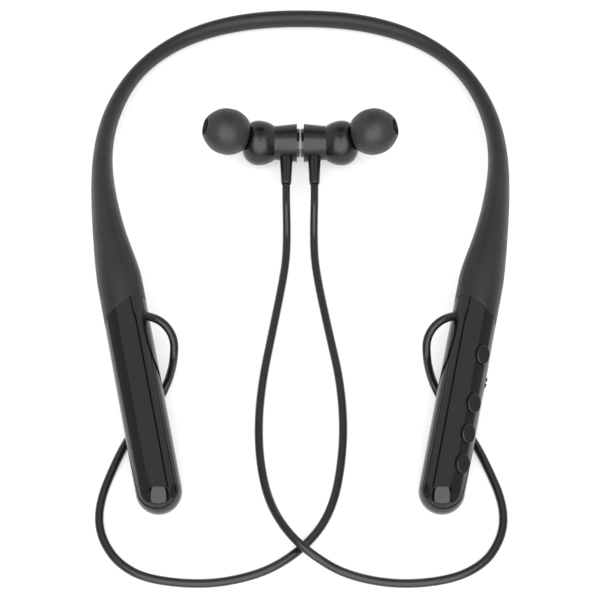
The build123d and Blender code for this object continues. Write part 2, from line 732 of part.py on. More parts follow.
def mic_hole():
    """Pinhole of the microphone in the pod's wall."""
    return outward(PORT_ANGLE) * Pos(0, MIC_Y, POD_RADIUS - POD_WALL) * Cylinder(MIC_HOLE, MIC_HOLE_LENGTH)


def microphone():
    """Microphone can on the main board."""
    top = BOARD_LIFT + BOARD_THICKNESS
    return outward(BUTTON_ANGLE) * block(MIC_SIZE, MIC_OFFSET, MIC_Y, top)


def bluetooth_module():
    """Radio module on the underside of the main board."""
    return outward(BUTTON_ANGLE) * block(RADIO_SIZE, 0, RADIO_Y, BOARD_LIFT - RADIO_SIZE[2])


def right_pod():
    """All pieces of the right pod, by name, in the pod's frame."""
    grip = board_block(FIT)
    ribs = [disc(y, RIB, POD_BORE + FIT) - grip for y in BOARD_RIBS]
    ribs[0] = ribs[0] - outward(BUTTON_ANGLE) * block(
        (RADIO_SIZE[0] + 2 * FIT, RADIO_SIZE[1] + 2 * FIT, RADIO_SIZE[2]), 0, RADIO_Y,
        BOARD_LIFT - RADIO_SIZE[2] - FIT)
    mic_room = [side + extra for side, extra in zip(MIC_SIZE, MIC_SPACE)]
    ribs[1] = ribs[1] - outward(BUTTON_ANGLE) * block(mic_room, MIC_OFFSET - 0.5, MIC_Y, BOARD_LIFT)
    cuts = button_holes() + [flap_pocket(), led_pipe(FIT), mic_hole()]
    cuts.append(exit_bore(CORD_RADIUS + GROMMET_NECK + FIT, EXIT_REACH / 4))
    top, bottom = pod_halves(ribs, cuts)
    pieces = {
        "right_top_shell": top,
        "right_bottom_shell": bottom,
        "right_coupler": coupler(),
        "right_cord_grommet": cord_grommet(),
        "main_board": main_board(),
        "usb_c_socket": usb_socket(),
        "port_flap": port_flap(),
        "led_light_pipe": led_pipe(),
        "microphone": microphone(),
        "bluetooth_module": bluetooth_module(),
    }
    for name, y in zip(BUTTON_NAMES, BUTTON_Y):
        pieces[name] = button(name, y)
    return pieces


# ---- left pod's pieces, in the pod's frame ---------------------------------------------------------
def left_pod():
    """All pieces of the left pod, by name, in the pod's frame."""
    middle = CELL_START + CELL_SIZE[1] / 2
    cell = Pos(0, middle, 0) * Box(*CELL_SIZE)
    cell = fillet(cell.edges(), CELL_ROUND)
    window = Pos(0, middle, 0) * Box(*[side + 2 * FIT for side in CELL_SIZE])
    ribs = [disc(y, RIB, POD_BORE + FIT) - window for y in CELL_RIBS]
    board_y = CELL_START + CELL_SIZE[1] + CHARGER_GAP + CHARGER_SIZE[1] / 2
    board_slot = Pos(0, board_y, CHARGER_SIZE[2] / 2) * Box(*[side + 2 * FIT for side in CHARGER_SIZE])
    ribs.append(disc(board_y, RIB, POD_BORE + FIT) - board_slot)
    cuts = [exit_bore(CORD_RADIUS + GROMMET_NECK + FIT, EXIT_REACH / 4)]
    top, bottom = pod_halves(ribs, cuts)
    pad_y = (CELL_RIBS[0] + CELL_RIBS[1]) / 2
    return {
        "left_top_shell": top,
        "left_bottom_shell": bottom,
        "left_coupler": coupler(),
        "left_cord_grommet": cord_grommet(),
        "battery_cell": cell,
        "battery_board": block(CHARGER_SIZE, 0, board_y, 0),
        "battery_pad": block(PAD_SIZE, 0, pad_y, CELL_SIZE[2] / 2),
    }


def main():
    os.makedirs("parts", exist_ok=True)
    save("neckband_sleeve", sleeve())
    places = wire_places()
    save("memory_wire", band_wire(*places[0]))
    save("link_wires", Compound(children=[band_wire(*place) for place in places[1:]]))
    for name, shape in left_pod().items():
        save(name, POD * shape)
    for name, shape in right_pod().items():
        save(name, right(POD * shape))
    save("tact_switches", Compound(children=[right(POD * item) for item in tact_switches()]))
    for name, shape in earbud_pieces().items():
        save("left_" + name, shape)
        save("right_" + name, right(shape))
    save("left_cord", cord("left_cord", LEFT_ROUTE))
    save("right_cord", cord("right_cord", RIGHT_ROUTE))


main()
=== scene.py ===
import json
import math

import bmesh
import bpy
import numpy as np
from mathutils import Matrix, Vector

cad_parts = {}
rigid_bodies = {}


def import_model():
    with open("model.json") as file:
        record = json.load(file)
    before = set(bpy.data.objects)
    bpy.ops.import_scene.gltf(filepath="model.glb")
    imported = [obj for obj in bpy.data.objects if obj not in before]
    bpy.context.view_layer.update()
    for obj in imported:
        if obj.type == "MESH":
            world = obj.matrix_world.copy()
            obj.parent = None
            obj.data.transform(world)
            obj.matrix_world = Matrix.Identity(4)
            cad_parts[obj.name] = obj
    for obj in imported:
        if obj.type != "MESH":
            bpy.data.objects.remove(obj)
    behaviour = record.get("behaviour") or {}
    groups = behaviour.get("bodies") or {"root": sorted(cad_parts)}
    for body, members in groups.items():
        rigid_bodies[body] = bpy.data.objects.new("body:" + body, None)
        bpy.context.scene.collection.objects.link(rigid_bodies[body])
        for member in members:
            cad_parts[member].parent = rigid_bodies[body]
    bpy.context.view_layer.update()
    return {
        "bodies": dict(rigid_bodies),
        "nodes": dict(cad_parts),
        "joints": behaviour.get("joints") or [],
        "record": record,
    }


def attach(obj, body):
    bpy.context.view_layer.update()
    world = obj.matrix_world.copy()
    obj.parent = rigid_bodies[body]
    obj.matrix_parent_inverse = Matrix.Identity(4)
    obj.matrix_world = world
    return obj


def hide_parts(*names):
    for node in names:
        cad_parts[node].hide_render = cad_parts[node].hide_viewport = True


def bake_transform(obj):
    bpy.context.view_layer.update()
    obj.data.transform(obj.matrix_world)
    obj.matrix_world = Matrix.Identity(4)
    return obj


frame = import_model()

MM = 0.001
SCENE = bpy.context.scene
NODES = frame["nodes"]

# ---- camera -----------------------------------------------------------------------------------
VIEW_TARGET = Vector((-0.0001, -0.0193, 0.005))
VIEW_ELEVATION = 62.0
VIEW_DISTANCE = 0.5408
LENS = 110.0

# ---- studio, in metres unless said otherwise ----------------------------------------------------
BOX_ELEVATION = 47.5        # degrees
BOX_DISTANCE = 1.0
BOX_SIZE = (1.46, 1.68)
BOX_RADIANCE = 2.3
SURROUND = 0.85
FLOOR_HALF = 4.0
FLOOR_TONE = 0.6
FLOOR_LIFT = 0.4            # added where the camera, gloss or glass sees the floor
WING_WIDTH = 0.5            # black cards beside the box
# Cards over the part: half width, near edge, far edge, height, tone.
TOP_CARDS = {
    "centre_card": (0.006, 0.0, 0.09, 0.091, 0.0),
    "back_card": (0.05, 0.098, 0.188, 0.12, 0.08),
}
SIDE_CARD = (0.105, -0.16, -0.022, 0.075, 0.42)     # distance out, near edge, far edge, height, tone
STRIP_OFFSET = (17.0, 10.5, 22.0)                   # from the left pod's axis, in millimetres
STRIP_WIDTH = 6.0
STRIP_ENDS = (-10.0, 50.0)                          # along the pod's axis from its tip

# ---- shapes repeated from the CAD model, in millimetres ------------------------------------------
POD_RADIUS = 6.5
POD_TIP = (-39.4, -80.5, 6.5)
POD_LEAN = 11.9
POD_SLOPE = 8.1
SEAM_Y = 52.6
SEAM_LEAN = 22.0
SEAM_RAKE = 24.0
BAND_STATIONS = [          # x, y, z, width, height
    (0.0, 84.5, 3.0, 5.0, 6.0),
    (-22.0, 82.2, 3.0, 4.85, 6.0),
    (-38.0, 75.7, 3.2, 4.35, 6.0),
    (-50.0, 64.8, 3.9, 4.1, 6.0),
    (-57.5, 48.9, 6.0, 4.9, 6.4),
    (-60.1, 29.3, 9.9, 5.8, 7.4),
    (-58.5, 10.0, 13.6, 7.7, 9.2),
    (-55.2, -7.2, 15.4, 10.7, 11.6),
]
BAND_END = 63.8             # along the pod's axis from its tip
BAND_STRAIGHT = 9.8         # the band's straight run on the pod's axis
# Rings between the last section and the seam: share of the way, and how far they turn in.
SEAM_RINGS = [(k / 10, 0.0) for k in range(1, 10)] + [(0.975, 0.0), (0.995, 0.05), (1.0, 0.2), (1.0, 1.2)]

CORD_RADIUS = 1.2
CORD_REST = CORD_RADIUS
CORD_HUMP = 6.3             # where the right cord lies over the left one
BUD_Y = 34.4
BUD_Z = 6.95
BOOT_X = 4.3
BOOT_REACH = 15.0
LOOP_FROM_TIP = [           # x and y from the left pod's tip centre
    (-6.21, 50.37, 16.29),
    (-2.99, 48.86, 17.97),
    (0.08, 47.11, 18.04),
    (2.38, 44.75, 17.0),
    (3.5, 42.1, 15.2),
    (3.3, 39.0, 12.5),
    (2.6, 37.3, 8.3),
    (1.0, 34.6, 3.7),
    (-1.5, 29.8, 1.9),
    (-6.6, 23.5, CORD_REST),
    (-10.8, 16.3, CORD_REST),
]
POD_LOOP = [(POD_TIP[0] + x, POD_TIP[1] + y, z) for x, y, z in LOOP_FROM_TIP]
LEFT_ROUTE = POD_LOOP + [
    (-53.4, -72.2, CORD_REST),
    (-55.9, -80.0, CORD_REST),
    (-56.5, -87.3, CORD_REST),
    (-54.6, -93.8, CORD_REST),
    (-50.0, -100.0, CORD_REST),
    (-42.0, -104.4, CORD_REST),
    (-26.0, -106.0, CORD_REST),
    (-12.0, -103.2, CORD_REST),
    (-2.5, -98.0, CORD_REST),
    (5.3, -90.3, CORD_REST),
    (9.5, -81.5, CORD_REST),
    (11.6, -70.5, CORD_REST),
    (12.5, -58.0, CORD_REST),
    (11.5, -43.5, CORD_REST),
    (8.6, -29.0, CORD_REST),
    (5.9, -14.8, CORD_REST),
    (4.4, -4.8, CORD_REST),
    (4.1, 2.0, 1.6),
    (4.1, 7.0, 3.3),
    (4.2, 11.2, 5.8),
    (BOOT_X, 15.2, BUD_Z),
    (BOOT_X, BUD_Y - BOOT_REACH, BUD_Z),
]
RIGHT_ROUTE = [(-x, y, z) for x, y, z in POD_LOOP] + [
    (53.6, -72.3, CORD_REST),
    (56.4, -80.3, CORD_REST),
    (57.0, -87.5, CORD_REST),
    (55.1, -93.8, CORD_REST),
    (50.8, -99.8, CORD_REST),
    (42.0, -104.4, CORD_REST),
    (27.0, -106.0, CORD_REST),
    (12.8, -103.2, CORD_REST),
    (3.3, -99.2, CORD_HUMP),
    (-3.9, -92.2, CORD_HUMP),
    (-9.0, -81.2, CORD_REST),
    (-11.5, -69.5, CORD_REST),
    (-12.1, -57.0, CORD_REST),
    (-11.0, -43.5, CORD_REST),
    (-8.4, -28.8, CORD_REST),
    (-5.9, -14.8, CORD_REST),
    (-4.4, -4.8, CORD_REST),
    (-4.1, 2.0, 1.6),
    (-4.1, 7.0, 3.3),
    (-4.2, 11.2, 5.8),
    (-BOOT_X, 15.2, BUD_Z),
    (-BOOT_X, BUD_Y - BOOT_REACH, BUD_Z),
]


# ---- materials ----------------------------------------------------------------------------------
def link(tree, source, output, target, name):
    """Link one node's output to another's input."""
    tree.links.new(source.outputs[output], target.inputs[name])


def shader(name, color, roughness, metallic=0.0, ior=1.5, coat=0.0):
    """New material; returns it with its node tree and its Principled shader."""
    material = bpy.data.materials.new(name)
    material.use_nodes = True
    tree = material.node_tree
    surface = tree.nodes["Principled BSDF"]
    surface.inputs["Base Color"].default_value = (*color, 1)
    surface.inputs["Roughness"].default_value = roughness
    surface.inputs["Metallic"].default_value = metallic
    surface.inputs["IOR"].default_value = ior
    surface.inputs["Coat Weight"].default_value = coat
    return material, tree, surface


def noise(tree, scale, detail=3.0, stretch=None):
    """Noise in object space; stretch squeezes it along an axis."""
    place = tree.nodes.new("ShaderNodeTexCoord")
    texture = tree.nodes.new("ShaderNodeTexNoise")
    texture.inputs["Scale"].default_value = scale
    texture.inputs["Detail"].default_value = detail
    if stretch:
        mapping = tree.nodes.new("ShaderNodeMapping")
        mapping.inputs["Scale"].default_value = stretch
        link(tree, place, "Object", mapping, "Vector")
        link(tree, mapping, "Vector", texture, "Vector")
    else:
        link(tree, place, "Object", texture, "Vector")
    return texture


def value_of(texture):
    """Name of a texture's value output."""
    return "Fac" if "Fac" in texture.outputs else "Distance"


def vary(tree, texture, surface, name, low, high):
    """Drive one shader input between low and high by a texture."""
    remap = tree.nodes.new("ShaderNodeMapRange")
    remap.inputs["From Min"].default_value = 0.3
    remap.inputs["From Max"].default_value = 0.7
    remap.inputs["To Min"].default_value = low
    remap.inputs["To Max"].default_value = high
    link(tree, texture, value_of(texture), remap, "Value")
    link(tree, remap, "Result", surface, name)


def bump(tree, texture, surface, strength, distance):
    """Bump from a texture; distance is the height in metres."""
    node = tree.nodes.new("ShaderNodeBump")
    node.inputs["Strength"].default_value = strength
    node.inputs["Distance"].default_value = distance
    link(tree, texture, value_of(texture), node, "Height")
    link(tree, node, "Normal", surface, "Normal")


def tint(tree, texture, surface, low, high):
    """Colour between two tones by a texture."""
    ramp = tree.nodes.new("ShaderNodeValToRGB")
    ramp.color_ramp.elements[0].position = 0.35
    ramp.color_ramp.elements[1].position = 0.65
    ramp.color_ramp.elements[0].color = (*low, 1)
    ramp.color_ramp.elements[1].color = (*high, 1)
    link(tree, texture, value_of(texture), ramp, "Fac")
    link(tree, ramp, "Color", surface, "Base Color")


def silicone():
    """Soft matte silicone with fine grain and faint mottling."""
    material, tree, surface = shader("silicone_black", (0.013, 0.013, 0.0135), 0.42, ior=1.42)
    vary(tree, noise(tree, 260), surface, "Roughness", 0.38, 0.47)
    tint(tree, noise(tree, 45, 4), surface, (0.0105, 0.0105, 0.011), (0.015, 0.015, 0.0155))
    bump(tree, noise(tree, 5200, 2), surface, 0.12, 0.00004)
    return material


def tip_silicone():
    """Smoother, slightly translucent silicone of the ear tips."""
    material, tree, surface = shader("tip_silicone", (0.016, 0.016, 0.0165), 0.42, ior=1.5)
    surface.inputs["Subsurface Weight"].default_value = 0.05
    surface.inputs["Subsurface Scale"].default_value = 0.0006
    vary(tree, noise(tree, 420), surface, "Roughness", 0.38, 0.46)
    bump(tree, noise(tree, 4200, 2), surface, 0.08, 0.00003)
    return material


def gloss_plastic():
    """Piano-black moulded plastic with a very slight waviness and fine wear."""
    material, tree, surface = shader("shell_black", (0.004, 0.004, 0.0045), 0.06, ior=1.5)
    vary(tree, noise(tree, 700, 5), surface, "Roughness", 0.045, 0.085)
    bump(tree, noise(tree, 90, 1), surface, 0.05, 0.00002)
    return material


def bud_plastic():
    """Polished plastic of the earbuds, a little softer in its gloss than the pods."""
    material, tree, surface = shader("bud_black", (0.004, 0.004, 0.0045), 0.27, ior=1.5)
    vary(tree, noise(tree, 700, 5), surface, "Roughness", 0.24, 0.3)
    return material


def satin_plastic():
    """Satin plastic of the buttons."""
    material, tree, surface = shader("button_black", (0.007, 0.007, 0.0075), 0.2)
    vary(tree, noise(tree, 900, 3), surface, "Roughness", 0.16, 0.26)
    bump(tree, noise(tree, 9000, 2), surface, 0.1, 0.00002)
    return material


def inner_plastic():
    """Plain moulded plastic inside the pods."""
    material, tree, surface = shader("inner_plastic", (0.1, 0.1, 0.1), 0.5)
    vary(tree, noise(tree, 500), surface, "Roughness", 0.42, 0.6)
    bump(tree, noise(tree, 3000, 3), surface, 0.15, 0.00004)
    return material


def cord_rubber():
    """Satin rubber cord: smooth along its length with faint drawn streaks."""
    material, tree, surface = shader("cord_black", (0.006, 0.006, 0.0065), 0.24)
    vary(tree, noise(tree, 1500, 3), surface, "Roughness", 0.2, 0.3)
    bump(tree, noise(tree, 2600, 2), surface, 0.08, 0.00003)
    return material


def boot_rubber():
    """Matte rubber of the strain reliefs."""
    material, tree, surface = shader("boot_black", (0.007, 0.007, 0.0075), 0.24)
    vary(tree, noise(tree, 800), surface, "Roughness", 0.2, 0.3)
    bump(tree, noise(tree, 5000, 2), surface, 0.12, 0.00003)
    return material


def metal(name, color, roughness, stretch=None):
    """Metal with fine brushing where stretch is given."""
    material, tree, surface = shader(name, color, roughness, metallic=1.0)
    texture = noise(tree, 600, 4, stretch)
    vary(tree, texture, surface, "Roughness", roughness * 0.75, roughness * 1.3)
    bump(tree, texture, surface, 0.05, 0.00001)
    return material


def cap_metal():
    """Gloss black lacquered disc of the magnet cap."""
    material, tree, surface = shader("cap_metal", (0.01, 0.01, 0.011), 0.12, metallic=0.3, coat=0.5)
    vary(tree, noise(tree, 900, 4), surface, "Roughness", 0.08, 0.16)
    return material


def circuit_board():
    """Solder mask with copper traces."""
    material, tree, surface = shader("board_green", (0.02, 0.12, 0.05), 0.35)
    place = tree.nodes.new("ShaderNodeTexCoord")
    cells = tree.nodes.new("ShaderNodeTexVoronoi")
    cells.distance = "MANHATTAN"
    cells.feature = "DISTANCE_TO_EDGE"
    cells.inputs["Scale"].default_value = 900
    link(tree, place, "Object", cells, "Vector")
    tint(tree, cells, surface, (0.05, 0.2, 0.08), (0.015, 0.1, 0.04))
    bump(tree, cells, surface, 0.3, 0.00003)
    return material


def battery_foil():
    """Crinkled aluminium pouch."""
    material, tree, surface = shader("battery_foil", (0.6, 0.61, 0.63), 0.3, metallic=1.0)
    texture = noise(tree, 350, 5)
    vary(tree, texture, surface, "Roughness", 0.22, 0.45)
    bump(tree, texture, surface, 0.3, 0.00008)
    return material


def foam():
    """Open-cell foam."""
    material, tree, surface = shader("foam", (0.06, 0.06, 0.06), 0.95)
    cells = tree.nodes.new("ShaderNodeTexVoronoi")
    cells.inputs["Scale"].default_value = 2600
    place = tree.nodes.new("ShaderNodeTexCoord")
    link(tree, place, "Object", cells, "Vector")
    bump(tree, cells, surface, 0.8, 0.0002)
    return material


def light_pipe():
    """Smoky plastic light pipe."""
    material, tree, surface = shader("light_pipe", (0.03, 0.03, 0.032), 0.2)
    surface.inputs["Transmission Weight"].default_value = 0.3
    vary(tree, noise(tree, 900), surface, "Roughness", 0.12, 0.3)
    return material


def wire_sleeve():
    """Insulated wire."""
    material, tree, surface = shader("wire_copper", (0.4, 0.05, 0.04), 0.4)
    vary(tree, noise(tree, 900), surface, "Roughness", 0.32, 0.5)
    bump(tree, noise(tree, 3000), surface, 0.1, 0.00002)
    return material


MATERIALS = {
    "silicone_black": silicone(),
    "tip_silicone": tip_silicone(),
    "shell_black": gloss_plastic(),
    "bud_black": bud_plastic(),
    "button_black": satin_plastic(),
    "inner_plastic": inner_plastic(),
    "cord_black": cord_rubber(),
    "boot_black": boot_rubber(),
    "magnet_metal": metal("magnet_metal", (0.75, 0.75, 0.77), 0.15),
    "cap_metal": cap_metal(),
    "steel": metal("steel", (0.6, 0.6, 0.6), 0.28, (1, 1, 9)),
    "wire_copper": wire_sleeve(),
    "board_green": circuit_board(),
    "battery_foil": battery_foil(),
    "foam": foam(),
    "light_pipe": light_pipe(),
}


# ---- meshes -------------------------------------------------------------------------------------
def smooth(obj):
    """Smooth shading on every face."""
    for polygon in obj.data.polygons:
        polygon.use_smooth = True


def new_piece(name, verts, faces, slot):
    """Mesh object from vertices in millimetres."""
    mesh = bpy.data.meshes.new(name)
    mesh.from_pydata([Vector(v) * MM for v in verts], [], faces)
    mesh.validate()
    obj = bpy.data.objects.new(name, mesh)
    SCENE.collection.objects.link(obj)
    mesh.materials.append(MATERIALS[slot])
    smooth(obj)
    return obj


def bridge(rings, count, closed=False):
    """Quads between rings of count vertices each."""
    faces = []
    total = len(rings)
    for i in range(total if closed else total - 1):
        a, b = i * count, ((i + 1) % total) * count
        for j in range(count):
            k = (j + 1) % count
            faces.append((a + j, a + k, b + k, b + j))
    return faces


def pod_matrix():
    """The left pod's frame, in millimetres."""
    lean = Matrix.Rotation(math.radians(POD_LEAN), 4, "Z")
    slope = Matrix.Rotation(math.radians(POD_SLOPE), 4, "X")
    return Matrix.Translation(POD_TIP) @ lean @ slope


POD = pod_matrix()


def cubic(knots, values, samples):
    """Natural cubic spline through values at knots, sampled."""
    n = len(knots)
    h = np.diff(knots)
    values = np.asarray(values, float)
    system = np.zeros((n, n))
    rhs = np.zeros((n, values.shape[1]))
    system[0, 0] = system[-1, -1] = 1
    for i in range(1, n - 1):
        system[i, i - 1], system[i, i], system[i, i + 1] = h[i - 1], 2 * (h[i - 1] + h[i]), h[i]
        rhs[i] = 6 * ((values[i + 1] - values[i]) / h[i] - (values[i] - values[i - 1]) / h[i - 1])
    curve = np.linalg.solve(system, rhs)
    out = []
    for s in samples:
        i = min(max(int(np.searchsorted(knots, s)) - 1, 0), n - 2)
        a, b = knots[i + 1] - s, s - knots[i]
        out.append(
            (curve[i] * a**3 + curve[i + 1] * b**3) / (6 * h[i])
            + (values[i] / h[i] - curve[i] * h[i] / 6) * a
            + (values[i + 1] / h[i] - curve[i + 1] * h[i] / 6) * b
        )
    return np.array(out)


def sleeve():
    """Silicone sleeve: one smooth tube from seam to seam, thick at the pods and thin at the nape."""
    around, per_side = 64, 110
    half = [(Vector(s[:3]), s[3], s[4]) for s in BAND_STATIONS]
    for y in (BAND_END, BAND_END - BAND_STRAIGHT):
        half.append((POD @ Vector((0, y, 0)), 2 * POD_RADIUS, 2 * POD_RADIUS))
    mirrored = [(Vector((-p.x, p.y, p.z)), w, h) for p, w, h in half[1:]]
    full = list(reversed(mirrored)) + half
    points = np.array([list(p) + [w, h] for p, w, h in full])
    knots = np.concatenate([[0], np.cumsum(np.linalg.norm(np.diff(points[:, :3], axis=0), axis=1))])
    start, end = knots[1], knots[-2]
    samples = np.linspace(start, end, 2 * per_side + 1)
    track = cubic(knots, points, samples)
    axis = (POD.to_3x3() @ Vector((0, 1, 0))).normalized()
    frames = []
    for i, row in enumerate(track):
        before, after = track[max(i - 1, 0)], track[min(i + 1, len(track) - 1)]
        along = Vector(after[:3] - before[:3]).normalized()
        if i == len(track) - 1:
            along = -axis
        if i == 0:
            along = Vector((-axis.x, axis.y, axis.z))
        side = Vector((0, 0, 1)).cross(along).normalized()
        up = along.cross(side)
        frames.append((Vector(row[:3]), side, up, row[3] / 2, row[4] / 2))

    def ring(frame, shrink=0.0):
        centre, side, up, wide, high = frame
        out = []
        for j in range(around):
            a = 2 * math.pi * j / around
            out.append(centre + side * (wide - shrink) * math.cos(a) + up * (high - shrink) * math.sin(a))
        return out

    rings = [ring(f) for f in frames]

    def seam_end(last, flip):
        """Rings that run straight from the last section to the slanted seam, then turn in."""
        extra = []
        inverse = POD.inverted()
        for t, shrink in SEAM_RINGS:
            out = []
            for v in last:
                v = Vector((-v.x, v.y, v.z)) if flip else v
                local = inverse @ v
                lean, rake = math.tan(math.radians(SEAM_LEAN)), math.tan(math.radians(SEAM_RAKE))
                target = SEAM_Y + lean * local.x + rake * local.z
                scale = (POD_RADIUS - shrink) / math.hypot(local.x, local.z)
                place = Vector((local.x * scale, local.y + (target - local.y) * t, local.z * scale))
                place = POD @ place
                out.append(Vector((-place.x, place.y, place.z)) if flip else place)
            extra.append(out)
        return extra

    rings = list(reversed(seam_end(rings[0], True))) + rings + seam_end(rings[-1], False)
    verts = [v for r in rings for v in r]
    obj = new_piece("neckband_skin", verts, bridge(rings, around), "silicone_black")
    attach(obj, "frame")
    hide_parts("neckband_sleeve")


# Ear tip's half section, from the inner edge of the rim round the dome to the bore: radius, height.
TIP_PROFILE = [
    (4.35, 4.95), (4.4, 4.62), (4.62, 4.47), (4.86, 4.5), (5.03, 4.66), (5.55, 5.3), (6.05, 6.1),
    (6.52, 7.0), (6.86, 7.95), (7.05, 8.9), (7.1, 9.7), (7.08, 10.7), (6.97, 11.7), (6.73, 12.7),
    (6.34, 13.65), (5.8, 14.55), (5.12, 15.4), (4.38, 16.16), (3.68, 16.78), (3.1, 17.18),
    (2.66, 17.33), (2.5, 17.22), (2.46, 16.95), (2.46, 14.5), (2.46, 11.5), (2.46, 8.5), (2.46, 6.1),
    (2.5, 5.86), (2.66, 5.8), (2.98, 5.8), (3.12, 5.88), (3.16, 6.2), (3.16, 8.5), (3.16, 11.5),
    (3.2, 13.4), (3.45, 14.35), (3.95, 14.6), (4.6, 14.1), (5.4, 13.0), (6.0, 11.8), (6.35, 10.6),
    (6.44, 9.6), (6.35, 8.6), (6.0, 7.4), (5.4, 6.3), (4.75, 5.45),
]
NOZZLE_TILT = 22.5
NOZZLE_POINT = (-12.9, 34.4, 9.45)


def ear_tip(side):
    """Silicone dome turned about the nozzle's axis."""
    around = 96
    sign = -1 if side == "left" else 1
    tilt = math.radians(NOZZLE_TILT)
    along = Vector((sign * math.cos(tilt), 0, math.sin(tilt)))
    across = Vector((0, 1, 0))
    up = along.cross(across)
    origin = Vector((sign * -NOZZLE_POINT[0], NOZZLE_POINT[1], NOZZLE_POINT[2]))
    verts = []
    for radius, height in TIP_PROFILE:
        for j in range(around):
            a = 2 * math.pi * j / around
            out = across * math.cos(a) + up * math.sin(a)
            verts.append(origin + along * height + out * radius)
    obj = new_piece(side + "_tip_dome", verts, bridge(TIP_PROFILE, around, closed=True), "tip_silicone")
    fix_normals(obj)
    subdivide(obj)
    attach(obj, side + "_tip")
    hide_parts(side + "_ear_tip")


def fix_normals(obj):
    """Turn the faces so that their normals point out."""
    mesh = bmesh.new()
    mesh.from_mesh(obj.data)
    bmesh.ops.recalc_face_normals(mesh, faces=mesh.faces)
    mesh.to_mesh(obj.data)
    mesh.free()


def turned(profile, origin, along, around):
    """Rings of points turned about an axis from (radius, distance along it) pairs."""
    across = along.orthogonal().normalized()
    up = along.cross(across)
    rings = []
    for radius, reach in profile:
        for j in range(around):
            a = 2 * math.pi * j / around
            rings.append(origin + along * reach + (across * math.cos(a) + up * math.sin(a)) * radius)
    return rings


def subdivide(obj):
    """One level of smooth subdivision."""
    modifier = obj.modifiers.new("smooth", "SUBSURF")
    modifier.levels = modifier.render_levels = 1


# Bright rim on each magnet cap's edge: radius, and distance from the middle plane.
RIM_PROFILE = [(4.2, 0.045), (4.29, 0.045), (4.33, 0.06), (4.51, 0.24), (4.52, 0.3), (4.2, 0.3)]


def cap_rim(side):
    """Polished bevel ring round a magnet cap."""
    around = 96
    sign = -1 if side == "left" else 1
    verts = turned(RIM_PROFILE, Vector((0, BUD_Y, BUD_Z)), Vector((sign, 0, 0)), around)
    obj = new_piece(side + "_cap_rim", verts, bridge(RIM_PROFILE, around, closed=True), "steel")
    fix_normals(obj)
    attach(obj, side + "_earbud")


# Strain relief: radius, and distance along the cord from the earbud's axis.
BOOT_PROFILE = [
    (0.02, -4.45), (1.6, -4.45), (1.93, -4.6), (1.93, -6.0), (1.92, -6.6), (1.88, -7.6), (1.83, -8.8),
    (1.77, -10.0), (1.72, -11.2), (1.68, -12.2), (1.65, -13.0), (1.62, -13.7), (1.57, -14.2),
    (1.49, -14.6), (1.39, -14.88), (1.28, -15.0), (0.02, -15.0),
]


def boot(side):
    """Tapered rubber strain relief with a rounded end, turned about the cord."""
    around = 48
    sign = -1 if side == "left" else 1
    verts = turned(BOOT_PROFILE, Vector((sign * BOOT_X, BUD_Y, BUD_Z)), Vector((0, 1, 0)), around)
    faces = bridge(BOOT_PROFILE, around)
    obj = new_piece(side + "_boot_skin", verts, faces, "boot_black")
    fix_normals(obj)
    subdivide(obj)
    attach(obj, side + "_earbud")
    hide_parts(side + "_strain_relief")


# Grommet's rings: radius about the cord, and the distance from the pod's axis each ring ends on.
GROMMET_RINGS = [
    (1.24, 5.4), (1.24, 6.4), (1.27, 6.5), (1.34, 6.53), (1.42, 6.52), (1.49, 6.46), (1.51, 6.3),
    (1.51, 5.3), (1.7, 5.12), (2.2, 5.1), (2.3, 5.0), (2.3, 4.2), (2.2, 4.1), (1.4, 4.1),
]


def grommet(side):
    """Rubber collar that follows the pod's round wall where the cord comes out."""
    around = 48
    start, ahead = Vector(POD_LOOP[0]), Vector(POD_LOOP[1])
    along = (ahead - start).normalized()
    across = along.orthogonal().normalized()
    up = along.cross(across)
    inverse = POD.inverted()
    turn = inverse.to_3x3()
    verts = []
    for radius, reach in GROMMET_RINGS:
        for j in range(around):
            a = 2 * math.pi * j / around
            foot = start + (across * math.cos(a) + up * math.sin(a)) * radius
            p, d = inverse @ foot, turn @ along
            square = d.x**2 + d.z**2
            half = (p.x * d.x + p.z * d.z) / square
            rest = (p.x**2 + p.z**2 - reach**2) / square
            step = -half + math.sqrt(max(half**2 - rest, 0))
            verts.append(foot + along * step)
    if side == "right":
        verts = [Vector((-v.x, v.y, v.z)) for v in verts]
    obj = new_piece(side + "_grommet_skin", verts, bridge(GROMMET_RINGS, around), "cord_black")
    fix_normals(obj)
    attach(obj, "frame")
    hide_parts(side + "_cord_grommet")


PORT_ANGLE = 100.0          # degrees round the pod from its top
PORT_Y = 34.0
FLAP_HALF = (2.6, 5.4)      # half size across and along the pod
FLAP_PLUG_HALF = (1.0, 3.85)
FLAP_PLUG_END = 4.7
FLAP_TABS = (-1.05, 0.65)   # places of the pull tabs along the flap
FLAP_TAB_HALF = (1.3, 0.55)
# Inset from the flap's edge, and distance from the pod's axis.
FLAP_RINGS = [
    (2.5, 6.5), (1.9, 6.5), (1.3, 6.5), (0.8, 6.5), (0.4, 6.49), (0.18, 6.47), (0.06, 6.42),
    (0.0, 6.34), (0.0, 6.1), (0.04, 5.99), (0.14, 5.95), (0.6, 5.95), (1.3, 5.95), (1.57, 5.93),
]
# Inset from a tab's edge, and height over the pod's surface.
TAB_RINGS = [(0.0, -0.25), (0.0, 0.1), (0.04, 0.22), (0.12, 0.32), (0.24, 0.38), (0.4, 0.4), (0.52, 0.4)]


def racetrack(half, inset, around):
    """Points round a slot with straight sides along y."""
    radius = half[0] - inset
    straight = half[1] - half[0]
    points = []
    for j in range(around):
        a = 2 * math.pi * (j + 0.5) / around
        shift = straight if math.sin(a) > 0 else -straight
        points.append((radius * math.cos(a), radius * math.sin(a) + shift))
    return points


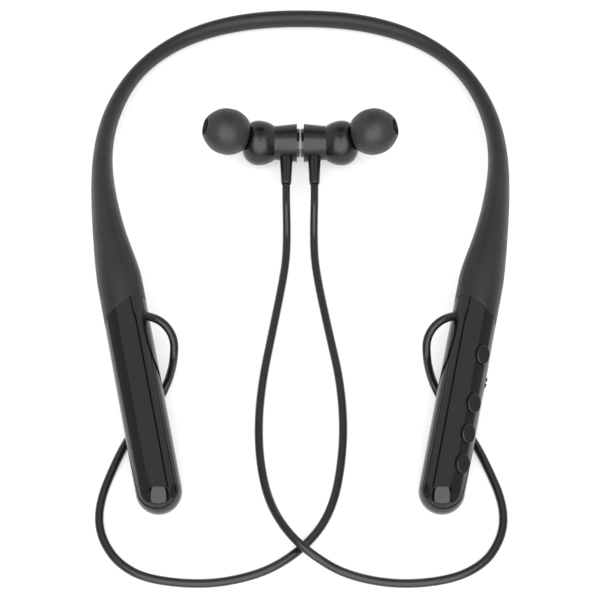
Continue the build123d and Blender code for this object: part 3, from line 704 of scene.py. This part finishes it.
def port_flap():
    """Soft flap over the socket: a thin pad that follows the pod, its plug and two pull tabs."""
    around = 48
    verts = []
    for inset, reach in FLAP_RINGS:
        for x, y in racetrack(FLAP_HALF, inset, around):
            verts.append((x, y, math.sqrt(reach**2 - x**2)))
    end = FLAP_PLUG_END
    plug = [(0.0, 5.9), (0.0, end + 0.12), (0.05, end + 0.03), (0.15, end), (0.9, end)]
    for inset, height in plug:
        for x, y in racetrack(FLAP_PLUG_HALF, inset, around):
            verts.append((x, y, height))
    faces = bridge(FLAP_RINGS + plug, around)
    faces.append(tuple(range(around)))
    faces.append(tuple(range(len(verts) - around, len(verts))))
    for shift in FLAP_TABS:
        base = len(verts)
        for inset, height in TAB_RINGS:
            for j in range(around):
                a = 2 * math.pi * (j + 0.5) / around
                x, y = [
                    (h - inset) * math.copysign(abs(f) ** 0.35, f)
                    for h, f in zip(FLAP_TAB_HALF, (math.cos(a), math.sin(a)))
                ]
                verts.append((x, y + shift, math.sqrt(POD_RADIUS**2 - x**2) + height))
        faces += [tuple(base + k for k in face) for face in bridge(TAB_RINGS, around)]
        faces.append(tuple(range(len(verts) - around, len(verts))))
    place = POD @ Matrix.Rotation(math.radians(-PORT_ANGLE), 4, "Y") @ Matrix.Translation((0, PORT_Y, 0))
    turned_verts = [place @ Vector(v) for v in verts]
    obj = new_piece("port_flap_skin", [(-v.x, v.y, v.z) for v in turned_verts], faces, "silicone_black")
    fix_normals(obj)
    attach(obj, "flap")
    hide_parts("port_flap")


# ---- cords --------------------------------------------------------------------------------------
def route_line(name, route):
    """Points along the route's NURBS spline, in metres."""
    curve = bpy.data.curves.new(name + "_route", "CURVE")
    curve.dimensions = "3D"
    curve.resolution_u = 12
    spline = curve.splines.new("NURBS")
    spline.points.add(len(route) - 1)
    for point, place in zip(spline.points, route):
        point.co = (*[c * MM for c in place], 1)
    spline.order_u = 3
    spline.use_endpoint_u = True
    holder = bpy.data.objects.new(name + "_route", curve)
    SCENE.collection.objects.link(holder)
    bpy.context.view_layer.update()
    line = bpy.data.meshes.new_from_object(holder)
    points = [v.co.copy() for v in line.vertices]
    bpy.data.meshes.remove(line)
    bpy.data.objects.remove(holder)
    bpy.data.curves.remove(curve)
    return points


def cord(name, route):
    """Round cord that follows its route."""
    around = 32
    points = route_line(name, route)
    rings = []
    side = Vector((0, 0, 1)).cross(points[1] - points[0]).normalized()
    for i, point in enumerate(points):
        along = (points[min(i + 1, len(points) - 1)] - points[max(i - 1, 0)]).normalized()
        side = (side - along * side.dot(along)).normalized()
        up = along.cross(side)
        for j in range(around):
            a = 2 * math.pi * j / around
            rings.append((point / MM) + (side * math.cos(a) + up * math.sin(a)) * CORD_RADIUS)
    faces = bridge(points, around)
    faces.append(tuple(range(around)))
    faces.append(tuple(reversed(range(len(rings) - around, len(rings)))))
    obj = new_piece(name + "_skin", rings, faces, "cord_black")
    fix_normals(obj)
    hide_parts(name)
    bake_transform(obj)


# ---- assembly -----------------------------------------------------------------------------------
def dress_nodes():
    """Give each CAD node its material."""
    slots = {part["node"]: part["material_slot"] for part in frame["record"]["subparts"]}
    for name, obj in NODES.items():
        obj.data.materials.clear()
        earbud = "earbud" in name and slots[name] == "shell_black"
        obj.data.materials.append(MATERIALS["bud_black" if earbud else slots[name]])


def stage():
    """White floor that catches the object's soft shadow."""
    floor = bpy.data.meshes.new("floor")
    corners = [(x * FLOOR_HALF, y * FLOOR_HALF, 0) for x, y in ((-1, -1), (1, -1), (1, 1), (-1, 1))]
    floor.from_pydata(corners, [], [(0, 1, 2, 3)])
    obj = bpy.data.objects.new("floor", floor)
    SCENE.collection.objects.link(obj)
    material, tree, surface = shader("floor_white", (FLOOR_TONE, FLOOR_TONE, FLOOR_TONE), 0.9)
    surface.inputs["Specular IOR Level"].default_value = 0.0
    paths = tree.nodes.new("ShaderNodeLightPath")
    source, output = paths, "Is Camera Ray"
    for ray in ("Is Glossy Ray", "Is Transmission Ray"):
        either = tree.nodes.new("ShaderNodeMath")
        either.operation = "MAXIMUM"
        link(tree, source, output, either, 0)
        link(tree, paths, ray, either, 1)
        source, output = either, "Value"
    lift = tree.nodes.new("ShaderNodeMath")
    lift.operation = "MULTIPLY"
    lift.inputs[1].default_value = FLOOR_LIFT
    link(tree, source, output, lift, 0)
    surface.inputs["Emission Color"].default_value = (1, 1, 1, 1)
    link(tree, lift, "Value", surface, "Emission Strength")
    floor.materials.append(material)


def flag(name, corners, tone):
    """Card that shows only in reflections."""
    mesh = bpy.data.meshes.new(name)
    mesh.from_pydata(corners, [], [(0, 1, 2, 3)])
    obj = bpy.data.objects.new(name, mesh)
    SCENE.collection.objects.link(obj)
    material = bpy.data.materials.new(name)
    material.use_nodes = True
    tree = material.node_tree
    tree.nodes.clear()
    glow = tree.nodes.new("ShaderNodeEmission")
    glow.inputs["Color"].default_value = (tone, tone, tone, 1)
    out = tree.nodes.new("ShaderNodeOutputMaterial")
    link(tree, glow, "Emission", out, "Surface")
    mesh.materials.append(material)
    obj.visible_camera = False
    obj.visible_diffuse = False
    obj.visible_shadow = False


def area_light(name, place, target, size, radiance):
    """Soft rectangular light; radiance is its brightness."""
    data = bpy.data.lights.new(name, "AREA")
    data.shape = "RECTANGLE"
    data.size, data.size_y = size
    data.energy = radiance * math.pi * size[0] * size[1]
    obj = bpy.data.objects.new(name, data)
    obj.location = place
    obj.rotation_euler = (Vector(target) - Vector(place)).to_track_quat("-Z", "Y").to_euler()
    SCENE.collection.objects.link(obj)


def lights():
    """Large soft box in front and above, an even white surround, and cards that shape the gloss."""
    tilt = math.radians(BOX_ELEVATION)
    place = (0, -BOX_DISTANCE * math.cos(tilt), BOX_DISTANCE * math.sin(tilt))
    area_light("front_box", place, (0, 0, 0), BOX_SIZE, BOX_RADIANCE)
    world = bpy.data.worlds.new("surround")
    world.use_nodes = True
    world.node_tree.nodes["Background"].inputs["Color"].default_value = (1, 1, 1, 1)
    world.node_tree.nodes["Background"].inputs["Strength"].default_value = SURROUND
    SCENE.world = world
    for name, (wide, near, far, height, tone) in TOP_CARDS.items():
        edges = ((-wide, near), (wide, near), (wide, far), (-wide, far))
        flag(name, [(x, y, height) for x, y in edges], tone)
    up = Vector((0, math.sin(tilt), math.cos(tilt))) * BOX_SIZE[1] / 2
    for name, side in (("left_wing", -1), ("right_wing", 1)):
        near_x, far_x = side * BOX_SIZE[0] / 2, side * (BOX_SIZE[0] / 2 + WING_WIDTH)
        near, far = Vector((near_x, *place[1:])), Vector((far_x, *place[1:]))
        flag(name, [near - up, far - up, far + up, near + up], 0.0)
    for name, side in (("left_strip", 1), ("right_strip", -1)):
        ends = []
        for reach in STRIP_ENDS:
            middle = POD @ Vector((0, reach, 0)) + Vector(STRIP_OFFSET)
            ends.append([middle + Vector((half, 0, 0)) for half in (-STRIP_WIDTH / 2, STRIP_WIDTH / 2)])
        around = (ends[0][0], ends[0][1], ends[1][1], ends[1][0])
        flag(name, [Vector((side * v.x, v.y, v.z)) * MM for v in around], 0.0)
    out, near, far, high, tone = SIDE_CARD
    for name, side in (("left_card", -1), ("right_card", 1)):
        edges = ((near, 0), (far, 0), (far, high), (near, high))
        flag(name, [(side * out, y, z) for y, z in edges], tone)


def camera():
    """The viewing angle of the reference."""
    data = bpy.data.cameras.new("camera")
    data.lens = LENS
    data.sensor_width = 36
    obj = bpy.data.objects.new("camera", data)
    elevation = math.radians(VIEW_ELEVATION)
    away = Vector((0, -math.cos(elevation), math.sin(elevation)))
    obj.location = VIEW_TARGET + away * VIEW_DISTANCE
    obj.rotation_euler = (-away).to_track_quat("-Z", "Y").to_euler()
    SCENE.collection.objects.link(obj)
    SCENE.camera = obj


camera()
dress_nodes()
cord("left_cord", LEFT_ROUTE)
cord("right_cord", RIGHT_ROUTE)
sleeve()
for side in ("left", "right"):
    ear_tip(side)
    boot(side)
    cap_rim(side)
    grommet(side)
port_flap()
stage()
lights()
SCENE.view_settings.view_transform = "Standard"
